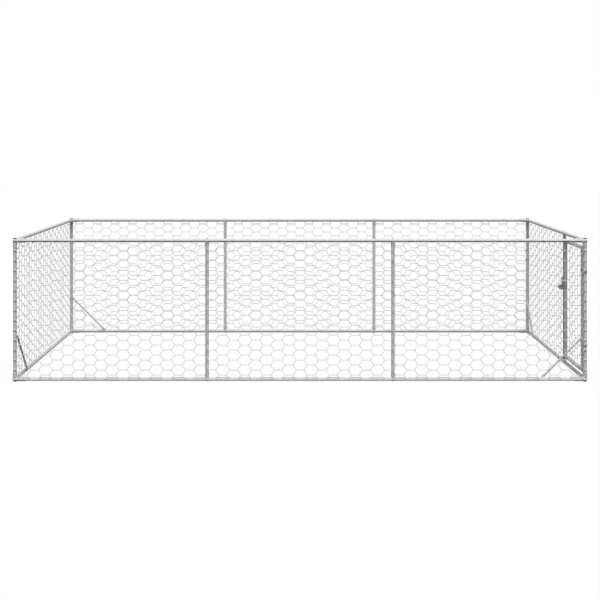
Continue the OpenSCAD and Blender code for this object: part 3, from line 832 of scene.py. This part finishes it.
# dark caps on the two screws that the photograph shows on the hinge post
caps = {"radius": 0.0052, "height": 0.0042, "segments": 24, "rings": 12}
build = bmesh.new()
for (x, y, z), _ in hingeScrews:
    made = bmesh.ops.create_uvsphere(build, u_segments=caps["segments"],
                                     v_segments=caps["rings"], radius=1.0)
    for vert in made["verts"]:
        side, depth, up = vert.co
        out = caps["height"] * max(depth, 0.0)
        vert.co = (x + caps["radius"] * side, y - out, z + caps["radius"] * up)
fit(keepBuild("hingeScrewCaps", build, plugFinish), "frame", "dark_plugs")
print("screws driven")


# weld beads round the door's four mitres
welds = {
    "bead": 0.0013,
    "flatness": 0.6,          # height of a bead against its half width
    "ripple": 0.22,           # swing of its width along the seam
    "ripples": 26,
    "steps": 104,
    "sides": 6,
    "lift": 0.0002,
}
diagonal = math.sqrt(2)
radius = run["tubeRadius"] + welds["lift"]
across = Vector((1, 0, 0))
build = bmesh.new()
for y, inY in ((run["hingeStileY"], 1), (run["latchStileY"], -1)):
    for z, inZ in ((run["doorLow"], 1), (run["doorHigh"], -1)):
        centre = Vector((px, y, z))
        down = Vector((0, -inY, -inZ)) / diagonal
        normal = Vector((0, inY, -inZ)) / diagonal
        rings = []
        for i in range(welds["steps"]):
            a = 2 * math.pi * i / welds["steps"]
            outward = across * math.cos(a) + down * math.sin(a)
            middle = centre + radius * (across * math.cos(a) + down * diagonal * math.sin(a))
            bead = welds["bead"] * (1 + welds["ripple"] * math.sin(welds["ripples"] * a))
            ring = []
            for k in range(welds["sides"]):
                b = 2 * math.pi * k / welds["sides"]
                off = welds["flatness"] * outward * math.cos(b) + normal * math.sin(b)
                ring.append(build.verts.new(middle + bead * off))
            rings.append(ring)
        for ring, after in zip(rings, rings[1:] + rings[:1]):
            for k in range(welds["sides"]):
                n = (k + 1) % welds["sides"]
                build.faces.new((ring[k], ring[n], after[n], after[k]))
fit(keepBuild("doorWelds", build, fittingFinish), "door", "galvanised_tube")
print("mitres welded")


studio = {
    "camera": (-0.014, -8.8875, 1.69),
    "lens": 67.98,
    "sensor": 36.0,
    "clipEnd": 200.0,
    "shiftX": 0.00335,
    "shiftY": -0.2683,
    "floorSize": 60.0,
    "floorBounce": 0.03,      # how pale the floor is for the light that it throws back up
    "shadowShare": 0.1,       # how much of the floor's white is lost in full shadow
    "sky": 0.4,
    "keyStrength": 2.3,
    "keySoftness": 18.0,      # degrees
    "keyTurn": (30.0, 0.0, 8.0),
}


def backdropNodes(tree):
    # 1 for rays that should meet the plain white backdrop
    path = tree.nodes.new("ShaderNodeLightPath").outputs
    seen = calc(tree, "MAXIMUM", path["Is Camera Ray"], path["Is Glossy Ray"])
    return calc(tree, "MAXIMUM", seen, path["Is Transmission Ray"])


def whiteFloor():
    finish = bpy.data.materials.new("whiteFloor")
    finish.use_nodes = True
    tree = finish.node_tree
    tree.nodes.clear()
    bounce, share = studio["floorBounce"], studio["shadowShare"]
    matte = firstOut(tree, "ShaderNodeBsdfDiffuse", Color=(bounce, bounce, bounce, 1))
    # white where the light reaches it, and a little darker in the run's shadow
    slope = math.cos(math.radians(studio["keyTurn"][0]))
    litLevel = studio["keyStrength"] / math.pi * slope + studio["sky"]
    pale = firstOut(tree, "ShaderNodeBsdfDiffuse", Color=(share, share, share, 1))
    white = firstOut(tree, "ShaderNodeEmission", Color=(1, 1, 1, 1), Strength=1 - share * litLevel)
    seen = tree.nodes.new("ShaderNodeAddShader")
    tree.links.new(white, seen.inputs[0])
    tree.links.new(pale, seen.inputs[1])
    pick = tree.nodes.new("ShaderNodeMixShader")
    put(tree, pick.inputs[0], backdropNodes(tree))
    tree.links.new(matte, pick.inputs[1])
    tree.links.new(seen.outputs[0], pick.inputs[2])
    tree.links.new(pick.outputs[0], tree.nodes.new("ShaderNodeOutputMaterial").inputs[0])
    return finish


half = studio["floorSize"] / 2
floorMesh = bpy.data.meshes.new("floor")
floorCorners = [(-half, -half, 0), (half, -half, 0), (half, half, 0), (-half, half, 0)]
floorMesh.from_pydata(floorCorners, [], [(0, 1, 2, 3)])
floorMesh.materials.append(whiteFloor())
floor = addObject("floor", floorMesh)

world = bpy.data.worlds.new("studio")
world.use_nodes = True
scene.world = world
sky = world.node_tree.nodes["Background"]
skyLevel = firstOut(world.node_tree, "ShaderNodeMapRange", Value=backdropNodes(world.node_tree),
                    To_Min=studio["sky"], To_Max=1.0)
sky.inputs[0].default_value = (1, 1, 1, 1)
put(world.node_tree, sky.inputs[1], skyLevel)

key = bpy.data.lights.new("key", "SUN")
key.energy = studio["keyStrength"]
key.angle = math.radians(studio["keySoftness"])
keyLamp = addObject("key", key)
keyLamp.rotation_euler = [math.radians(a) for a in studio["keyTurn"]]

lens = bpy.data.cameras.new("camera")
lens.lens = studio["lens"]
lens.sensor_width = studio["sensor"]
lens.shift_x = studio["shiftX"]
lens.shift_y = studio["shiftY"]
lens.clip_end = studio["clipEnd"]
camera = addObject("camera", lens)
camera.location = studio["camera"]
camera.rotation_euler = (math.pi / 2, 0, 0)
scene.camera = camera
scene.view_settings.view_transform = "Standard"
print("stage set")
